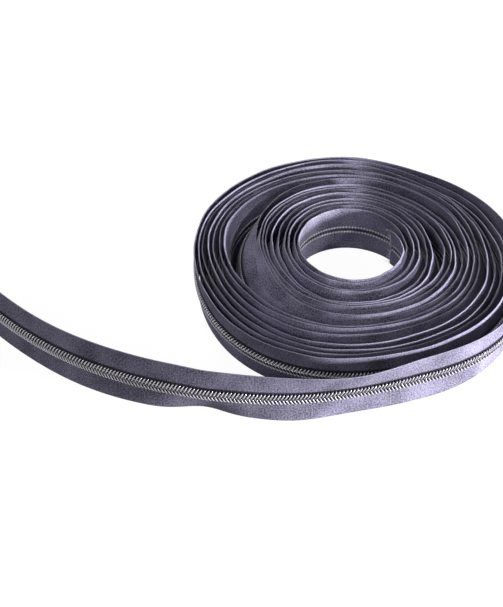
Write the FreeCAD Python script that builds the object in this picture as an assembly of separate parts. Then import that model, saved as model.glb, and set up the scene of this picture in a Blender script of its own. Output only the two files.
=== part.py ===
"""Nylon coil zipper by the length: a flat roll that stands on its edge, with one free tail."""

import FreeCAD, Part
import math
import os

Vec = FreeCAD.Vector

# Woven tapes. The roll stands on the lower tape's selvedge, and +Z runs across the zipper.
tape_width = 13.75
tape_gap = 0.5
tape_thickness = 0.55

# Monofilament coils, one sewn to each tape, meshed along the middle.
tooth_pitch = 1.8
wire_thickness = 0.58
coil_reach = 3.2
head_overlap = 0.35
coil_height = 1.7
heel_lean = 0.7

# Filler cord inside each coil, and the sewing threads that hold coil and cord to the tape.
cord_width = 0.9
cord_thickness = 0.35
cord_from_centre = 1.2
thread_size = 0.3
thread_clearance = 0.05
back_thread_from_centre = 1.7

# Winding: turns run clockwise seen from above, from the cut inner end to the tail.
core_radius = 30.3
roll_radius = 91.0
full_turns = 17
tail_leaves_after = 0.3
start_azimuth = 35.0
turn_clearance = 0.3
chords_per_turn = 13

# Where the turns stand apart: turn, azimuth, spread in degrees, looseness against plain turns.
loose_places = [
    (9, 150.0, 60.0, 9.0),
    (10, 172.0, 42.0, 7.0),
    (4, 172.0, 50.0, 2.0),
    (16, 128.0, 34.0, 9.0),
    (13, 98.0, 34.0, 5.0),
    (9, 48.0, 32.0, 5.0),
    (6, 2.0, 34.0, 5.0),
    (2, -100.0, 32.0, 6.0),
    (4, -100.0, 38.0, 9.0),
    (7, -104.0, 34.0, 4.0),
    (9, -96.0, 34.0, 3.0),
    (13, -100.0, 36.0, 6.0),
]

# Where the outside of the roll is pressed in: azimuth, spread in degrees, depth.
flat_places = [
    (58.0, 20.0, 4.0),
    (-78.0, 40.0, 8.0),
    (-168.0, 30.0, 2.2),
]

# Tail: one easy bend that leaves the roll at the front and ends in a plain cut.
tail_bend_radius = 226.0
tail_length = 248.0
tail_chord = 14.0
leaving_angle = 2.2
tail_bend_out = 60.0
flex_gap = 0.95

zipper_width = 2 * tape_width + tape_gap
centre_height = zipper_width / 2
chain_thickness = tape_thickness + coil_height
closest_turns = chain_thickness + turn_clearance
chain_flex_gap = (chain_thickness - tape_thickness / 2) * math.sin(math.radians(tail_bend_out)) + flex_gap


def bump(azimuth, place, spread):
    """Smooth hill around the compass, 1 at its place."""
    apart = (azimuth - place + 180) % 360 - 180
    return math.exp(-(apart / spread) ** 2)


def looseness(turns):
    """Weight of the gap inside a point of the winding, 1 where the turns lie evenly."""
    weight = 1.0
    for turn, azimuth, spread, extra in loose_places:
        place = turn + ((start_azimuth - azimuth) % 360) / 360
        weight += extra * math.exp(-((turns - place) * 360 / spread) ** 2)
    return weight


def outside_radius(azimuth):
    """Radius that the last full turn reaches, less where the roll is pressed in."""
    return roll_radius - sum(depth * bump(azimuth, place, spread) for place, spread, depth in flat_places)


loose_at_start = 1 + sum(looseness(turn) for turn in range(2, full_turns + 1))
spare_at_start = outside_radius(start_azimuth) - core_radius - full_turns * closest_turns
plain_turns = closest_turns + spare_at_start / loose_at_start


def wound_radius(turns):
    """Distance from the roll's axis to the back of the tape after so many turns.

    Each turn lies outside the one before it by the closest spacing, and the room that is
    left between the core and the outside is shared out by looseness.
    """
    share = turns % 1
    outside = outside_radius(start_azimuth - 360 * share) - (1 - share) * plain_turns
    room = outside - core_radius - (full_turns - 1 + share) * closest_turns
    shares = [looseness(turn + share) for turn in range(1, full_turns + 1)]
    spare = room / (share + sum(shares[:-1]))
    return core_radius + turns * closest_turns + spare * (share + sum(shares[:int(turns)]))


def wound_point(turns):
    azimuth = math.radians(start_azimuth - 360 * turns)
    return Vec(math.cos(azimuth), math.sin(azimuth), 0) * wound_radius(turns)


def wound_path():
    """Corners of the winding; every turn has its corners at the same azimuths."""
    end = full_turns + tail_leaves_after
    corners = [wound_point(step / chords_per_turn) for step in range(int(end * chords_per_turn) + 1)]
    corners.append(wound_point(end))
    return corners


flex_point = wound_point(full_turns + tail_leaves_after)
flex_azimuth = start_azimuth - 360 * tail_leaves_after
leaving_heading = flex_azimuth - 90 + leaving_angle
tail_centre_azimuth = math.radians(leaving_heading - 90)
tail_centre_way = Vec(math.cos(tail_centre_azimuth), math.sin(tail_centre_azimuth), 0)
tail_centre = flex_point + tail_centre_way * tail_bend_radius


def tail_place(along, outward, height):
    """Point of the tail: distance from the flex, distance outwards from the tape's back, height."""
    turned = tail_centre_azimuth + math.pi - along / tail_bend_radius
    reach = Vec(math.cos(turned), math.sin(turned), 0) * (tail_bend_radius + outward)
    return tail_centre + reach + Vec(0, 0, height)


def tail_path(first, last):
    chords = math.ceil((last - first) / tail_chord)
    return [tail_place(first + (last - first) * step / chords, 0, 0) for step in range(chords + 1)]


def offset_line(corners, distance):
    """Line beside a path, outwards, with mitred corners."""
    ways = [(b - a).normalize() for a, b in zip(corners, corners[1:])]
    line = []
    for number, corner in enumerate(corners):
        before = ways[max(number - 1, 0)]
        after = ways[min(number, len(ways) - 1)]
        normal = (Vec(-before.y, before.x, 0) + Vec(-after.y, after.x, 0)).normalize()
        reach = distance / normal.dot(Vec(-after.y, after.x, 0))
        line.append(corner + normal * reach)
    return line


def strip(corners, inner, outer, bottom, top):
    """Band along a path, from one distance outwards to another, between two heights."""
    outline = offset_line(corners, inner) + offset_line(corners, outer)[::-1]
    lifted = [corner + Vec(0, 0, bottom) for corner in outline]
    return Part.Face(Part.makePolygon(lifted + lifted[:1])).extrude(Vec(0, 0, top - bottom))


def band(side, near, far):
    """Heights of a band that lies between two distances from the chain's centre line."""
    return sorted((centre_height + side * near, centre_height + side * far))


def tape(corners, side):
    return strip(corners, 0, tape_thickness, *band(side, tape_gap / 2, tape_gap / 2 + tape_width))


def closed_coil(corners, side):
    """Meshed coil as one band: its loops and cord inside the winding."""
    near = thread_clearance
    return strip(corners, tape_thickness, chain_thickness, *band(side, near, coil_reach))


def loop_corners(number, side):
    """Places where one loop of the wire turns: twice at its heel, twice at its head."""
    shift = 0.5 if side > 0 else 0.0
    start = chain_flex_gap + (number + shift) * tooth_pitch
    radius = wire_thickness / 2
    low, high = tape_thickness + radius, chain_thickness - radius
    heel = centre_height + side * (coil_reach - radius)
    head = centre_height - side * (head_overlap - radius)
    return [
        tail_place(start - heel_lean * tooth_pitch, low, heel),
        tail_place(start - heel_lean * tooth_pitch, high, heel),
        tail_place(start, high, head),
        tail_place(start, low, head),
    ]


def mitred_section(before, corner, after, side):
    """Three-sided section of the wire, on the plane that halves a corner."""
    come, go = (corner - before).normalize(), (after - corner).normalize()
    outside = (come - go).normalize() * 2 / (come + go).Length
    beside = go.cross(come).normalize() * side
    section = []
    for angle in (180, 300, 60):
        turned = math.radians(angle)
        spoke = outside * math.cos(turned) + beside * math.sin(turned)
        section.append(corner + spoke * wire_thickness / 2)
    return section


def facet(*corners):
    return Part.Face(Part.makePolygon(list(corners) + [corners[0]]))


def open_coil(side):
    """Coil with every loop: a three-sided wire led round heel and head."""
    loops = int((tail_length - chain_flex_gap) / tooth_pitch) - 1
    corners = [corner for number in range(1, loops) for corner in loop_corners(number, side)]
    sections = [mitred_section(*corners[number - 1:number + 2], side) for number in range(1, len(corners) - 1)]
    faces = [facet(*sections[0][::-1]), facet(*sections[-1])]
    for here, there in zip(sections, sections[1:]):
        for number in range(3):
            following = (number + 1) % 3
            faces.append(facet(here[number], here[following], there[following]))
            faces.append(facet(here[number], there[following], there[number]))
    return Part.Solid(Part.Shell(faces))


def save(name, shape):
    shape.exportStep("parts/" + name + ".step")
    print(name, "solids", len(shape.Solids), "valid", shape.isValid(), "volume", round(shape.Volume, 1))


def main():
    os.makedirs("parts", exist_ok=True)
    wound = wound_path()
    tail = tail_path(flex_gap, tail_length)
    chain = tail_path(chain_flex_gap, tail_length)
    cord_low = tape_thickness + (coil_height - cord_thickness) / 2
    for side, name in ((1, "upper"), (-1, "lower")):
        save("tape_" + name + "_wound", tape(wound, side))
        save("coil_" + name + "_wound", closed_coil(wound, side))
        save("tape_" + name + "_tail", tape(tail, side))
        save("coil_" + name + "_tail", open_coil(side))
        cord = band(side, cord_from_centre, cord_from_centre + cord_width)
        save("filler_cord_" + name + "_tail", strip(chain, cord_low, cord_low + cord_thickness, *cord))
        front = band(side, coil_reach + thread_clearance, coil_reach + thread_clearance + thread_size)
        save("needle_thread_" + name + "_tail",
             strip(tail, tape_thickness, tape_thickness + thread_size, *front))
        back = band(side, back_thread_from_centre, back_thread_from_centre + thread_size)
        save("looper_thread_" + name + "_tail", strip(tail, -thread_size, 0, *back))


main()
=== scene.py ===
import bpy
import numpy as np
from math import radians
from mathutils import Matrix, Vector


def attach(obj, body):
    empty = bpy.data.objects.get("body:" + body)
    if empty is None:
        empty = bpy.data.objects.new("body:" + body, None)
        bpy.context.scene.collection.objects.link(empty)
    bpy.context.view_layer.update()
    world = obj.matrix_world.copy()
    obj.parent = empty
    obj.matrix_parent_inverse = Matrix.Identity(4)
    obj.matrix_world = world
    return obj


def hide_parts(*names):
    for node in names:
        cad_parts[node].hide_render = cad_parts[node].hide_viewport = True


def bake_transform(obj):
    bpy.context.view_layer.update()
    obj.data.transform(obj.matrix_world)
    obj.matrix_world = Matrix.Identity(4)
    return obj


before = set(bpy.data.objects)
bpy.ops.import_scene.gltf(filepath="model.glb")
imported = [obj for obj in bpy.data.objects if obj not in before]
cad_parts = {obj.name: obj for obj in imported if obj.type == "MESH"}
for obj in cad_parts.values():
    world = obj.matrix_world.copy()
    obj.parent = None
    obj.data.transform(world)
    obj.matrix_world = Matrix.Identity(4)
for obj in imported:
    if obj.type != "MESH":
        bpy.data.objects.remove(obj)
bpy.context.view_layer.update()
scene = bpy.context.scene
mm = 0.001

# sizes, in millimetres

chain = dict(tapeWidth=13.75, tapeGap=0.5, tapeThickness=0.55, toothPitch=1.8, coilReach=3.2,
             headOverlap=0.38, coilHeight=1.7)
winding = dict(coreRadius=30.3, rollRadius=91.0, fullTurns=17, tailLeavesAfter=0.3, startAzimuth=35.0,
               closestTurns=2.55)
tail = dict(bendRadius=226.0, length=248.0, leavingAngle=2.2)

# turn, azimuth, spread in degrees, looseness: the same places as in the solids
loosePlaces = [(9, 150.0, 60.0, 9.0), (10, 172.0, 42.0, 7.0), (4, 172.0, 50.0, 2.0), (16, 128.0, 34.0, 9.0),
               (13, 98.0, 34.0, 5.0), (9, 48.0, 32.0, 5.0), (6, 2.0, 34.0, 5.0), (2, -100.0, 32.0, 6.0),
               (4, -100.0, 38.0, 9.0), (7, -104.0, 34.0, 4.0), (9, -96.0, 34.0, 3.0), (13, -100.0, 36.0, 6.0)]
# azimuth, spread in degrees, depth
flatPlaces = [(58.0, 20.0, 4.0), (-78.0, 40.0, 8.0), (-168.0, 30.0, 2.2)]
# how far the top edge of every turn leans out, innermost turn first, at six azimuths round the roll
rimLeans = {
    0: (-3.5, -4.7, -4.6, -5.3, -4.6, -5.3, -5.5, -5.0, -6.0,
        -5.5, -6.0, -6.0, -6.5, -6.0, -5.5, -5.0, -4.5, -1.0),
    -100: (-6.1, -7.3, -5.0, -6.2, -1.9, -3.5, -5.0, -7.4, -4.8, -6.8, -3.9, -5.2, -3.5, 0.7, 1.7, 1.2, 1.6),
    -143: (-4.3, -4.1, -4.2, -4.6, -5.2, -6.2, -7.6, -9.4, -11.2,
           -14.0, -3.0, -2.5, -2.0, -1.5, -1.0, 0.0, 1.5),
    172: (-1.6, -2.9, -2.5, -3.9, -3.6, -3.0, -2.4, -3.4, -4.6, -10.5, 4.9, 4.0, 4.5, 4.2, 3.8, 2.8, 0.6),
    130: (1.2, 2.0, 2.4, 2.2, 2.6, 2.2, 3.0, 2.2, 1.0, 1.0, 5.0, 5.5, 5.5, 5.0, 4.0, 2.6, -0.6),
    90: (2.9, 4.7, 5.2, 5.1, 6.0, 4.5, 5.5, 3.9, 2.2, 6.2, 4.5, 6.0, 3.4, 2.0, 0.6, 1.6, -1.6),
}
# the bottom edge leans the other way, by this share; turns over which a lean is softened
leaning = dict(bottomShare=0.35, softened=0.07)
# single places that lean more: turn, azimuth, spread in turns, spread in degrees, top edge, bottom edge
leanPlaces = [(16, 45.0, 0.3, 40.0, 1.5, -1.0), (14, 45.0, 0.9, 36.0, -3.0, 1.0),
              (1, -48.0, 1.6, 34.0, -2.4, 0.0), (9, 172.0, 0.3, 40.0, 0.0, 1.2),
              (10, 172.0, 0.3, 40.0, 0.0, -1.2)]
# small crimps of the top edge: turns per wave, lean
crimps = [(0.47, 0.3), (0.091, 0.17), (0.0517, 0.1)]
# turns stand a little off the floor
lift = dict(height=0.9, turnsPerWave=1.63, drift=1.7)
# the tail and the last of the roll swing out sideways: place along the tail, spread, shift
swings = [(-50.0, 90.0, 3.0), (75.0, 60.0, 2.2), (250.0, 70.0, -3.5)]
# place along the tail, spread, outward lean of the top edge, of the bottom edge
tailLeans = [(155.0, 80.0, -4.2, 0.0), (170.0, 60.0, 0.0, 4.0), (108.0, 14.0, 0.0, -4.5),
             (62.0, 22.0, 0.0, 3.0), (32.0, 28.0, 3.5, 0.0), (0.0, 40.0, -1.0, 2.5), (249.0, 42.0, -3.0, 2.5)]
# before the flex: the length over which the roll's leans fade, and from where the tail's begin
handOver = dict(rollFades=300, tailBegins=150)
# how finely the path is drawn: turns to a step of the winding, points along the tail
pathDetail = dict(turnStep=0.0022, tailPoints=160)

halfWidth = chain["tapeWidth"] + chain["tapeGap"] / 2
leanPower = 1.4


# the path of the tape

def bump(azimuth, place, spread):
    apart = (azimuth - place + 180) % 360 - 180
    return np.exp(-(apart / spread) ** 2)


def turnPlace(turn, azimuth):
    return turn + ((winding["startAzimuth"] - azimuth) % 360) / 360


def looseness(turns):
    weight = np.ones_like(turns)
    for turn, azimuth, spread, extra in loosePlaces:
        weight = weight + extra * np.exp(-((turns - turnPlace(turn, azimuth)) * 360 / spread) ** 2)
    return weight


def outsideRadius(azimuth):
    flats = sum(depth * bump(azimuth, place, spread) for place, spread, depth in flatPlaces)
    return winding["rollRadius"] - flats


def woundRadius(turns):
    # core + closest spacing for each turn, and the spare room shared out by looseness
    count, closest, core = winding["fullTurns"], winding["closestTurns"], winding["coreRadius"]
    start = winding["startAzimuth"]
    spareAtStart = outsideRadius(start) - core - count * closest
    plain = closest + spareAtStart / (1 + looseness(np.arange(2.0, count + 1)).sum())
    share = turns % 1
    room = outsideRadius(start - 360 * share) - (1 - share) * plain - core - (count - 1 + share) * closest
    shares = looseness(np.arange(1, count + 1)[:, None] + share[None, :])
    passed = np.arange(1, count + 1)[:, None] <= turns.astype(int)[None, :]
    spare = room / (share + shares[:-1].sum(0))
    return core + turns * closest + spare * (share + (shares * passed).sum(0))


def measured(points):
    return np.concatenate([[0], np.cumsum(np.hypot(*np.diff(points, axis=0).T))])


def makePath():
    # the winding first, then the tail's one bend: points in x and y, their places along the tape, the turn
    # that each belongs to, and the place where the tail leaves
    end = winding["fullTurns"] + winding["tailLeavesAfter"]
    turns = np.append(np.arange(0, end, pathDetail["turnStep"]), end)
    azimuth = np.radians(winding["startAzimuth"] - 360 * turns)
    radius = woundRadius(turns)
    wound = np.stack([np.cos(azimuth) * radius, np.sin(azimuth) * radius], 1)
    flexAzimuth = winding["startAzimuth"] - 360 * winding["tailLeavesAfter"]
    centreWay = radians(flexAzimuth - 90 + tail["leavingAngle"] - 90)
    centre = wound[-1] + np.array([np.cos(centreWay), np.sin(centreWay)]) * tail["bendRadius"]
    along = np.linspace(0, tail["length"], pathDetail["tailPoints"])[1:]
    turned = centreWay + np.pi - along / tail["bendRadius"]
    free = centre + np.stack([np.cos(turned), np.sin(turned)], 1) * tail["bendRadius"]
    points = np.concatenate([wound, free])
    along = measured(points)
    ways = np.gradient(points, along, axis=0)
    outward = np.stack([-ways[:, 1], ways[:, 0]], 1)
    for place, spread, shift in swings:
        apart = (along - along[len(turns) - 1] - place) / spread
        points = points + outward * (shift * np.exp(-apart ** 2))[:, None]
    lengths = measured(points)
    allTurns = np.concatenate([turns, np.full(len(free), end)])
    return points, lengths, allTurns, lengths[len(turns) - 1]


points, lengths, turnsAt, flexAt = makePath()
endAt = lengths[-1]
print("path", round(flexAt), "mm wound and", round(endAt - flexAt), "mm of tail")


def edgeLeans(turns):
    # outward lean of the top edge and of the bottom edge: the sides' leans joined along the tape and softened
    azimuth = winding["startAzimuth"] - 360 * turns
    known = sorted((turnPlace(turn, place), lean) for place, row in rimLeans.items()
                   for turn, lean in enumerate(row))
    places, leans = np.array(known).T
    shifts = np.linspace(-1, 1, 9) * leaning["softened"]
    top = np.mean([np.interp(turns + shift, places, leans) for shift in shifts], 0)
    bottom = -leaning["bottomShare"] * top
    for turnsPerWave, lean in crimps:
        top = top + lean * np.sin(2 * np.pi * turns / turnsPerWave + 2 * np.sin(1.3 * turns))
    for turn, place, turnSpread, spread, topLean, bottomLean in leanPlaces:
        hill = np.exp(-((turns - turnPlace(turn, place)) / turnSpread) ** 2) * bump(azimuth, place, spread)
        top = top + topLean * hill
        bottom = bottom + bottomLean * hill
    return top, bottom


rollPart = np.clip((flexAt - lengths) / handOver["rollFades"], 0, 1)
topLean, bottomLean = (lean * rollPart for lean in edgeLeans(turnsAt))
for place, spread, top, bottom in tailLeans:
    hill = np.exp(-((lengths - flexAt - place) / spread) ** 2) * (lengths > flexAt - handOver["tailBegins"])
    topLean = topLean + top * hill
    bottomLean = bottomLean + bottom * hill

wave = np.sin(2 * np.pi * turnsAt / lift["turnsPerWave"] + lift["drift"] * np.sin(2 * np.pi * turnsAt))
liftAt = lift["height"] * (1 + wave) / 2 * rollPart
tangent = np.gradient(points, lengths, axis=0)
tangent /= np.linalg.norm(tangent, axis=1)[:, None]


def onTape(along, across, out):
    # along the path, across from the chain's centre line (up is positive), out from the tape's back
    x, y = (np.interp(along, lengths, points[:, n]) for n in (0, 1))
    tx, ty = (np.interp(along, lengths, tangent[:, n]) for n in (0, 1))
    top = np.interp(along, lengths, topLean)
    bottom = np.interp(along, lengths, bottomLean)
    edge = np.where(across > 0, top, bottom)
    reach = np.abs(across) / halfWidth
    lean = edge * reach ** leanPower
    slope = edge * leanPower / halfWidth * reach ** (leanPower - 1) * np.sign(across)
    fall = leanPower ** 2 / (2 * halfWidth * (2 * leanPower - 1))
    drop = edge ** 2 * fall * reach ** (2 * leanPower - 1) * np.sign(across)
    tilt = np.sqrt(1 + slope ** 2)
    push = lean + out / tilt
    height = halfWidth - bottom ** 2 * fall + across - drop - out * slope / tilt
    height = height + np.interp(along, lengths, liftAt)
    return np.stack([x - ty * push, y + tx * push, height], -1) * mm


# meshes

def quadsBetween(index):
    # the last two axes of index are rows and the columns round each row
    here, there = index[..., :-1, :], index[..., 1:, :]
    return np.stack([here, np.roll(here, -1, -1), np.roll(there, -1, -1), there], -1).reshape(-1, 4)


def linked(name, thing):
    piece = bpy.data.objects.new(name, thing)
    scene.collection.objects.link(piece)
    return piece


def gridMesh(name, grid, uv=None, flip=False):
    # rows along the path, columns round a closed section; both ends closed by one face
    rows, columns = grid.shape[:2]
    index = np.arange(rows * columns).reshape(rows, columns)
    quads = quadsBetween(index)
    ends = [index[0][::-1], index[-1]]
    if flip:
        quads, ends = quads[:, ::-1], [end[::-1] for end in ends]
    mesh = bpy.data.meshes.new(name)
    mesh.from_pydata(grid.reshape(-1, 3), [], quads.tolist() + [end.tolist() for end in ends])
    if uv is not None:
        corners = np.empty(len(mesh.loops), dtype=np.int32)
        mesh.loops.foreach_get("vertex_index", corners)
        layer = mesh.uv_layers.new(name="cloth")
        layer.data.foreach_set("uv", uv.reshape(-1, 2)[corners].astype(np.float32).ravel())
    mesh.polygons.foreach_set("use_smooth", np.arange(len(mesh.polygons)) < len(quads))
    pairs = np.empty(2 * len(mesh.edges), dtype=np.int32)
    mesh.edges.foreach_get("vertices", pairs)
    pairs = pairs.reshape(-1, 2)
    rim = (pairs.max(1) < columns) | (pairs.min(1) >= (rows - 1) * columns)
    mesh.edges.foreach_set("use_edge_sharp", rim)
    mesh.update()
    return linked(name, mesh)


tapeShape = dict(rollStep=2.4, tailStep=1.4, bead=0.09, beadAt=0.95, beadSpread=0.03, edge=0.16)
backAt = 100.0  # how much farther across the back face lies on the cloth's map than the front face


def makeTape(name, side, first, last, step):
    # section: out along the front face and back along the back face, fuller at the selvedge
    share = np.array([0, 0.02, 0.1, 0.22, 0.36, 0.5, 0.64, 0.78, 0.88, 0.95, 0.985, 1])
    bead = tapeShape["bead"] * np.exp(-((share - tapeShape["beadAt"]) / tapeShape["beadSpread"]) ** 2)
    edge = np.where((share == 0) | (share == 1), tapeShape["edge"], 0)
    front = chain["tapeThickness"] + bead - edge
    back = edge - bead
    across = chain["tapeGap"] / 2 + chain["tapeWidth"] * np.append(share, share[::-1])
    out = np.append(front, back[::-1])
    along = np.linspace(first, last, int((last - first) / step) + 2)
    spread = np.broadcast_to(along[:, None], (len(along), len(out)))
    across = np.broadcast_to(side * across, spread.shape)
    grid = onTape(spread, across, np.broadcast_to(out, spread.shape))
    onBack = np.arange(len(out)) >= len(share)
    return gridMesh(name, grid, np.stack([spread, across + side * backAt * onBack], -1), flip=side > 0)


coilShape = dict(wire=0.68, lean=1.0, headWiden=0.3, squareAcross=0.75, squareOut=0.6)


def power(values, exponent):
    return np.sign(values) * np.abs(values) ** exponent


def makeCoil(name, side, first, last, perLoop, ring):
    # flattened helix: across and out go round a rounded box once a pitch, heads lean on ahead of heels
    pitch, wire = chain["toothPitch"], coilShape["wire"]
    q = np.linspace(first, last, int(round((last - first) * perLoop)) + 1)
    angle = 2 * np.pi * q

    def centre(angle):
        heel = power(np.cos(angle), coilShape["squareAcross"])
        rise = power(np.sin(angle), coilShape["squareOut"])
        low, high = -chain["headOverlap"] + wire / 2, chain["coilReach"] - wire / 2
        across = side * ((low + high) / 2 + (high - low) / 2 * heel)
        out = chain["tapeThickness"] + chain["coilHeight"] / 2 + (chain["coilHeight"] - wire) / 2 * rise
        along = pitch * (angle / (2 * np.pi) + side * 0.25 - (coilShape["lean"] - 0.5) / 2 * heel)
        return np.stack([along, across, out], -1), heel, rise

    place, heel, rise = centre(angle)
    nearby = 0.05
    way = centre(angle + nearby)[0] - centre(angle - nearby)[0]
    way /= np.linalg.norm(way, axis=1)[:, None]
    outward = np.stack([np.zeros_like(angle), side * np.cos(angle), np.sin(angle)], -1)
    outward -= (outward * way).sum(1)[:, None] * way
    outward /= np.linalg.norm(outward, axis=1)[:, None]
    beside = np.cross(way, outward)
    wide = 1 + coilShape["headWiden"] * ((1 - heel) / 2) ** 3
    turn = 2 * np.pi * np.arange(ring) / ring
    section = (outward[:, None] * np.cos(turn)[None, :, None]
               + beside[:, None] * (np.sin(turn)[None, :] * wide[:, None])[..., None]) * wire / 2
    spots = place[:, None] + section
    grid = onTape(spots[..., 0], spots[..., 1], spots[..., 2])
    return gridMesh(name, grid, flip=side > 0)


# the needle's thread lies over the heels and the looper's behind the tape; flat is height over width
threads = dict(needle=dict(across=3.4, out=0.66, size=0.42, flat=0.8),
               looper=dict(across=1.65, out=-0.22, size=1.7, flat=0.5))
stitchShape = dict(thinnest=0.12, fullness=3)


def makeThread(name, side, thread, first, last, perStitch, ring):
    # a tube that swells at the middle of each stitch and thins where it goes through the tape
    q = np.linspace(first, last, int(round((last - first) * perStitch)) + 1)
    stitch = np.abs(np.sin(np.pi * (q + side * 0.25))) ** stitchShape["fullness"]
    swell = stitchShape["thinnest"] + (1 - stitchShape["thinnest"]) * stitch[:, None]
    turn = 2 * np.pi * np.arange(ring) / ring
    radius = thread["size"] / 2
    wide = side * (thread["across"] + radius * swell * np.cos(turn))
    high = thread["out"] + radius * thread["flat"] * swell * np.sin(turn)
    along = np.broadcast_to((q * chain["toothPitch"])[:, None], wide.shape)
    return gridMesh(name, onTape(along, wide, high), flip=side < 0)


# how far the cord's middle lies from the chain's, half its width and half its thickness
cordShape = dict(across=1.9, halfWide=0.7, halfThick=0.19, step=3.0, ring=6)


def makeCord(name, side, first, last):
    ring = cordShape["ring"]
    along = np.arange(first, last, cordShape["step"])
    turn = 2 * np.pi * np.arange(ring) / ring
    across = side * (cordShape["across"] + cordShape["halfWide"] * np.cos(turn))
    out = chain["tapeThickness"] + chain["coilHeight"] / 2 + cordShape["halfThick"] * np.sin(turn)
    along, across, out = np.broadcast_arrays(along[:, None], across, out)
    return gridMesh(name, onTape(along, across, out), flip=side < 0)


frayShape = dict(hairs=150, rings=5, thick=0.2, thinning=0.7, shortest=0.4, longest=3.2, spread=0.8, seed=7,
                 margin=0.02, nearest=0.1, farthest=0.45, lowest=0.1)


def makeFray(name, side, along, way):
    # hairs at a cut end: each a thin three-sided tube that runs on along the tape, curls aside with its
    # length and stays above the floor
    chance = np.random.default_rng(frayShape["seed"] + side)
    count, rings = frayShape["hairs"], frayShape["rings"]
    placed = chance.uniform(frayShape["margin"], 1 - frayShape["margin"], count)
    across = side * (placed * chain["tapeWidth"] + chain["tapeGap"] / 2)
    out = chance.uniform(frayShape["nearest"], frayShape["farthest"], count)
    here = np.full(count, float(along))
    root = onTape(here, across, out)
    halfStep = 0.5
    ahead = (root - onTape(here - way * halfStep, across, out)) / halfStep
    aside = onTape(here, across + 1, out) - root
    outward = onTape(here, across, out + 1) - root
    share = np.linspace(0, 1, rings)[None, :, None]
    size = frayShape["shortest"] + frayShape["longest"] * chance.uniform(0, 1, count) ** 4
    curl, bow = chance.normal(0, frayShape["spread"], (2, count))
    line = root[:, None] + (size[:, None] * ahead)[:, None] * share
    line = line + (size[:, None] * (curl[:, None] * aside + bow[:, None] * outward))[:, None] * share ** 2
    line[..., 2] = np.maximum(line[..., 2], frayShape["lowest"] * mm)
    turn = 2 * np.pi * np.arange(3) / 3
    radius = frayShape["thick"] / 2 * (1 - frayShape["thinning"] * share[..., None])
    around = aside[:, None, None] * np.cos(turn)[:, None] + outward[:, None, None] * np.sin(turn)[:, None]
    spots = line[:, :, None] + around * radius
    index = np.arange(count * rings * 3).reshape(count, rings, 3)
    quads = quadsBetween(index)
    ends = np.concatenate([index[:, 0, ::-1], index[:, -1]])
    if way < 0:
        quads, ends = quads[:, ::-1], ends[:, ::-1]
    mesh = bpy.data.meshes.new(name)
    mesh.from_pydata(spots.reshape(-1, 3), [], quads.tolist() + ends.tolist())
    mesh.update()
    return linked(name, mesh)


# materials

class Value:
    # a socket that number maths can be written on
    def __init__(self, finish, socket):
        self.finish, self.socket = finish, socket

    def math(self, operation, *others, clamp=False):
        node = self.finish.node("ShaderNodeMath", dict(operation=operation, use_clamp=clamp),
                                {n: v for n, v in enumerate((self, *others))})
        return Value(self.finish, node.outputs[0])

    def __add__(self, other):
        return self.math("ADD", other)

    def __mul__(self, other):
        return self.math("MULTIPLY", other)

    def __sub__(self, other):
        return self.math("SUBTRACT", other)

    def __truediv__(self, other):
        return self.math("DIVIDE", other)

    def __rsub__(self, other):
        return self.math("MULTIPLY", -1).math("ADD", other)


class Finish:
    # one material: its shader's constants, and a method that adds any node
    def __init__(self, name, **constants):
        self.material = bpy.data.materials.new(name)
        self.material.use_nodes = True
        self.tree = self.material.node_tree
        self.shader = self.tree.nodes["Principled BSDF"]
        for socket, value in constants.items():
            self.put(self.shader, socket.replace("_", " "), value)

    def put(self, node, socket, value):
        if isinstance(value, Value):
            self.tree.links.new(value.socket, node.inputs[socket])
        else:
            node.inputs[socket].default_value = value

    def node(self, kind, settings=None, values=None):
        made = self.tree.nodes.new(kind)
        for key, setting in (settings or {}).items():
            setattr(made, key, setting)
        for socket, value in (values or {}).items():
            self.put(made, socket, value)
        return made

    def out(self, kind, settings=None, values=None, output=0):
        return Value(self, self.node(kind, settings, values).outputs[output])

    def mix(self, factor, first, second):
        # of the mix node's sockets, 6 and 7 take colours and 2 gives one
        node = self.node("ShaderNodeMix", dict(data_type="RGBA"), {0: factor, 6: first, 7: second})
        return Value(self, node.outputs[2])

    def step(self, value, low, high):
        return self.out("ShaderNodeMapRange", dict(interpolation_type="SMOOTHSTEP"),
                        {"Value": value, "From Min": low, "From Max": high})


# the near-black colour below is painted shade along the chain; the edge colour is the paler selvedge yarn
# together with a painted highlight
tapeLook = dict(dark=(0.04, 0.037, 0.058, 1), light=(0.42, 0.392, 0.555, 1), edge=(0.5, 0.475, 0.64, 1),
                sewn=(0.01, 0.009, 0.015, 1), rib=0.62, pick=0.74, speckle=0.85, patches=0.06, roughness=0.78,
                pickShare=0.5, ribShare=0.35, ribBend=1.2, weaveTone=0.2, speckleTone=1.9, patchTone=0.7,
                sewnTone=0.8, edgeWithHighlightTone=0.6, relief=0.0001)
# where the painted shade fades out on the front, beside the coil, and on the back, by the chain's middle; and
# how far in from the selvedge the tape turns pale, its paler yarn with a painted highlight
fades = dict(front=(3.6, 4.6), back=(0.5, 1.0), selvedge=(0.34, 0.1))


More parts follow.
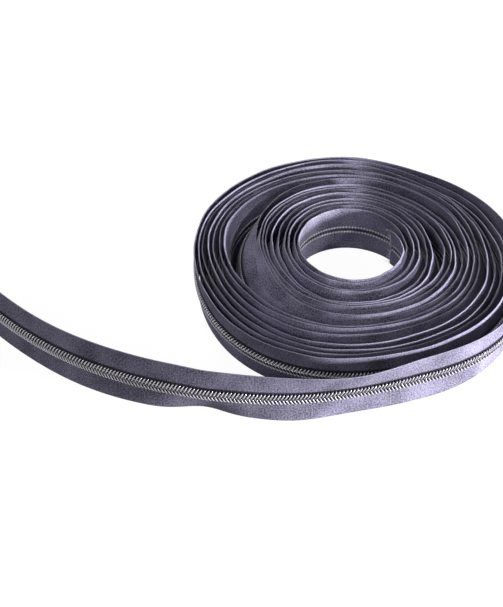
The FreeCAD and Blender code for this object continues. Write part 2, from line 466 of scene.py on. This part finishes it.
def tapeFinish():
    # woven polyester: fine ribs along and picks across, mottled, paler at the selvedge, partly its own yarn
    # and partly a painted highlight; darkened along the chain by painted shade
    finish = Finish("wovenTape", Roughness=tapeLook["roughness"], Specular_IOR_Level=0.1, Sheen_Weight=0.1,
                    Sheen_Roughness=0.4)
    cloth = finish.out("ShaderNodeUVMap", dict(uv_map="cloth"))
    apart = finish.node("ShaderNodeSeparateXYZ", values={0: cloth})
    along, across = Value(finish, apart.outputs[0]), Value(finish, apart.outputs[1])
    ribs = (across * (2 * np.pi / tapeLook["rib"])).math("SINE")
    picks = (along * (2 * np.pi / tapeLook["pick"]) + ribs * tapeLook["ribBend"]).math("SINE")
    speckle = finish.out("ShaderNodeTexNoise", dict(noise_dimensions="2D"),
                         {"Vector": cloth, "Scale": 1 / tapeLook["speckle"], "Detail": 2.0, "Roughness": 0.7})
    patches = finish.out("ShaderNodeTexNoise", dict(noise_dimensions="2D"),
                         {"Vector": cloth, "Scale": tapeLook["patches"], "Detail": 1.0})
    weave = picks * tapeLook["pickShare"] + ribs * tapeLook["ribShare"]
    mottling = (speckle - 0.5) * tapeLook["speckleTone"] + (patches - 0.5) * tapeLook["patchTone"]
    tone = weave * tapeLook["weaveTone"] + mottling + 0.5
    colour = finish.mix(tone.math("ADD", 0, clamp=True), tapeLook["dark"], tapeLook["light"])
    out = across.math("ABSOLUTE")
    back = out.math("GREATER_THAN", backAt / 2)
    out = out - back * backAt
    # painted shade: darker under and beside the coil on the front, and by the chain's middle on the back
    sewnFront = (1 - finish.step(out, *fades["front"])) * (1 - back)
    sewnBack = (1 - finish.step(out, *fades["back"])) * back
    colour = finish.mix((sewnFront + sewnBack) * tapeLook["sewnTone"], colour, tapeLook["sewn"])
    # the selvedge turns paler: partly its yarn, partly a painted highlight where the rims catch light
    selvedge = finish.step(out, *(halfWidth - inward for inward in fades["selvedge"]))
    colour = finish.mix(selvedge * tapeLook["edgeWithHighlightTone"], colour, tapeLook["edge"])
    finish.put(finish.shader, "Base Color", colour)
    relief = finish.out("ShaderNodeBump", None,
                        {"Height": weave * 0.5 + speckle, "Strength": 0.5, "Distance": tapeLook["relief"]})
    finish.put(finish.shader, "Normal", relief)
    return finish.material


# the near-black colour below is painted shade between the loops at the meshed heads; the fade pair gives how
# far from the chain's middle it starts to fade, and where it has gone
coilLook = dict(dark=(0.46, 0.44, 0.5, 1), light=(0.86, 0.83, 0.92, 1), headShade=(0.07, 0.064, 0.085, 1),
                headShadeTone=0.8, headShadeFade=(0.3, 1.1), streak=900.0)


def coilFinish():
    # drawn nylon with a silver lustre
    finish = Finish("silverNylon", Metallic=0.35, Roughness=0.2)
    place = finish.out("ShaderNodeTexCoord", output=3)
    streak = finish.out("ShaderNodeTexNoise", None,
                        {"Vector": place, "Scale": coilLook["streak"], "Detail": 2.0})
    bright = finish.mix(streak, coilLook["dark"], coilLook["light"])
    # painted shade: darker at the meshed heads, for the shadow between the loops
    height = finish.out("ShaderNodeSeparateXYZ", None, {"Vector": place}, output=2)
    middle = (chain["tapeWidth"] + chain["tapeGap"] / 2) * mm
    fromMiddle = (height - middle).math("ABSOLUTE") / mm
    headShade = 1 - finish.step(fromMiddle, *coilLook["headShadeFade"])
    colour = finish.mix(headShade * coilLook["headShadeTone"], bright, coilLook["headShade"])
    finish.put(finish.shader, "Base Color", colour)
    return finish.material


def threadFinish(name, dark, light):
    finish = Finish(name, Roughness=0.7, Specular_IOR_Level=0.15)
    place = finish.out("ShaderNodeTexCoord", output=3)
    strand = finish.out("ShaderNodeTexNoise", None, {"Vector": place, "Scale": 1500.0, "Detail": 2.0})
    finish.put(finish.shader, "Base Color", finish.mix(strand, dark, light))
    return finish.material


finishes = dict(tape=tapeFinish(), coil=coilFinish(),
                cord=threadFinish("fillerCord", (0.02, 0.018, 0.026, 1), (0.05, 0.045, 0.06, 1)),
                needle=threadFinish("needleThread", (0.01, 0.009, 0.014, 1), (0.03, 0.027, 0.04, 1)),
                looper=threadFinish("looperThread", (0.8, 0.78, 0.84, 1), (0.95, 0.94, 0.98, 1)))
print("materials made")


# pieces

def dress(piece, finish, slot, body, *nodes):
    piece.data.materials.append(finishes[finish])
    if body == "roll":
        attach(piece, "roll")
    else:
        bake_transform(piece)
    if nodes:
        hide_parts(*nodes)
    return piece


# points at the flex and this far past it, along a line this far out from the tape's back
flexLength = 55
inTape = 0.3
flexStart, flexEnd = (tuple(onTape(np.array([place]), np.array([0.0]), np.array([inTape]))[0])
                      for place in (flexAt, flexAt + flexLength))
pitch = chain["toothPitch"]
# the coil's stretches, counted in loops: up to coreLoops it shows in the open middle, from lastLoops outside
coreLoops, lastLoops = 130.0, 3240.0
# steps to a loop or a stitch, and sides of the wire or thread, for each stretch
coilDetail = dict(core=(8, 5), roll=(6, 4), lastTurn=(12, 6), tail=(14, 8))
threadDetail = dict(core=(8, 6), roll=(2, 4), tail=(6, 6))
# how far short of the cut ends the pieces stop: coil and threads in loops, cord and hairs in millimetres
cuts = dict(coilStart=1, coilEnd=1.2, threadStart=0.5, threadPastCoil=0.8, cord=2, hairs=0.2)
flexLoop, endLoop = flexAt / pitch, endAt / pitch - cuts["coilEnd"]

for side, word in ((1, "Upper"), (-1, "Lower")):
    low = word.lower()
    tapeRoll = makeTape("tape" + word + "Roll", side, 0, flexAt, tapeShape["rollStep"])
    dress(tapeRoll, "tape", "tape", "roll", f"tape_{low}_wound")
    flexAt * mm
    tapeTail = makeTape("tape" + word + "Tail", side, flexAt, endAt, tapeShape["tailStep"])
    dress(tapeTail, "tape", "tape", "tail", f"tape_{low}_tail")
    (endAt - flexAt) * mm
    dress(makeCoil("coil" + word + "Core", side, cuts["coilStart"], coreLoops, *coilDetail["core"]),
          "coil", "coil", "roll")
    dress(makeCoil("coil" + word + "Roll", side, coreLoops, lastLoops, *coilDetail["roll"]),
          "coil", "coil", "roll", f"coil_{low}_wound")
    dress(makeCoil("coil" + word + "LastTurn", side, lastLoops, flexLoop, *coilDetail["lastTurn"]),
          "coil", "coil", "roll")
    dress(makeCoil("coil" + word + "Tail", side, flexLoop, endLoop, *coilDetail["tail"]),
          "coil", "coil", "tail", f"coil_{low}_tail")
    dress(makeCord("fillerCord" + word + "Roll", side, cuts["cord"], flexAt), "cord", "cord", "roll")
    dress(makeCord("fillerCord" + word + "Tail", side, flexAt, endAt - cuts["cord"]), "cord", "cord", "tail",
          f"filler_cord_{low}_tail")
    for kind, thread in threads.items():
        dress(makeThread(f"{kind}Thread{word}Core", side, thread, cuts["threadStart"], coreLoops,
                         *threadDetail["core"]),
              kind, "thread", "roll")
        dress(makeThread(f"{kind}Thread{word}Roll", side, thread, coreLoops, flexLoop, *threadDetail["roll"]),
              kind, "thread", "roll")
        dress(makeThread(f"{kind}Thread{word}Tail", side, thread, flexLoop, endLoop + cuts["threadPastCoil"],
                         *threadDetail["tail"]),
              kind, "thread", "tail", f"{kind}_thread_{low}_tail")
    dress(makeFray("fray" + word + "Core", side, cuts["hairs"], -1), "looper", "tape", "roll")
    dress(makeFray("fray" + word + "Tail", side, endAt - cuts["hairs"], 1), "needle", "tape", "tail")
    print(low, "half dressed")

# floor, light, camera

view = dict(place=(-0.057, -0.335, 0.309), pitch=44.06, lens=46.38)
studio = dict(world=0.012,
              keyLamp=dict(place=(0.84, -0.35, 0.1), power=22.0, size=0.12),
              coreLamp=dict(place=(0.42, -0.2, 0.3), power=11.0, size=0.03, target=(-0.022, 0.01, 0.014),
                            cone=7.6),
              topLamp=dict(place=(-0.2, 0.1, 1.1), power=0.5, size=0.4),
              frontLamp=dict(place=(-0.5, -0.6, 0.6), power=1.75, size=0.3),
              backLamp=dict(place=(-0.35, 0.85, 0.45), power=4.5, size=0.4),
              floor=(0.12, 0.12, 0.12, 1), bounce=(0.3, 0.3, 0.3, 1), pale=(0.955, 0.955, 0.955, 1),
              paleFor=("Is Camera Ray", "Is Glossy Ray", "Is Transmission Ray"))
floorShape = dict(reach=6.0, below=0.0004)


def makeFloor():
    mesh = bpy.data.meshes.new("floor")
    reach = floorShape["reach"]
    corners = [(-reach, -reach, 0), (reach, -reach, 0), (reach, reach, 0), (-reach, reach, 0)]
    mesh.from_pydata(corners, [], [(0, 1, 2, 3)])
    floor = linked("floor", mesh)
    floor.location.z = -floorShape["below"]
    paint = Finish("paleFloor", Roughness=0.9, Specular_IOR_Level=0.1, Emission_Strength=1.0)
    rays = paint.node("ShaderNodeLightPath")
    seen, glossy, through = (Value(paint, rays.outputs[kind]) for kind in studio["paleFor"])
    paint.put(paint.shader, "Base Color", paint.mix(seen, studio["bounce"], studio["floor"]))
    paint.put(paint.shader, "Emission Color",
              paint.mix((seen + glossy + through).math("MINIMUM", 1), (0, 0, 0, 1), studio["pale"]))
    floor.data.materials.append(paint.material)


def aim(thing, target):
    thing.rotation_euler = (Vector(target) - thing.location).to_track_quat("-Z", "Y").to_euler()


def makeLamp(name, place, power, size, target=(-0.02, 0, 0), cone=None):
    # a square soft lamp, or with a cone (degrees) a round one that lights just its target and fades outwards
    lamp = bpy.data.lights.new(name, "SPOT" if cone else "AREA")
    lamp.energy = power
    if cone:
        lamp.spot_size = radians(cone)
        lamp.spot_blend = 1.0
        lamp.shadow_soft_size = size
    else:
        lamp.size = size
    thing = linked(name, lamp)
    thing.location = place
    aim(thing, target)


def makeWorld():
    world = scene.world = bpy.data.worlds.new("studio")
    world.use_nodes = True
    tree = world.node_tree
    background = tree.nodes["Background"]
    path = tree.nodes.new("ShaderNodeLightPath")
    seen = tree.nodes.new("ShaderNodeMath")
    seen.operation = "MAXIMUM"
    tree.links.new(path.outputs["Is Camera Ray"], seen.inputs[0])
    tree.links.new(path.outputs["Is Glossy Ray"], seen.inputs[1])
    strength = tree.nodes.new("ShaderNodeMapRange")
    strength.inputs["To Min"].default_value = studio["world"]
    tree.links.new(seen.outputs[0], strength.inputs["Value"])
    tree.links.new(strength.outputs[0], background.inputs["Strength"])
    background.inputs["Color"].default_value = (1, 1, 1, 1)


makeFloor()
makeWorld()
for lampName in ("keyLamp", "coreLamp", "topLamp", "frontLamp", "backLamp"):
    makeLamp(lampName, **studio[lampName])
camera = bpy.data.cameras.new("camera")
camera.lens = view["lens"]
cameraThing = linked("camera", camera)
cameraThing.location = view["place"]
cameraThing.rotation_euler = (radians(90 - view["pitch"]), 0, 0)
scene.camera = cameraThing
scene.view_settings.view_transform = "Standard"
print("studio set")
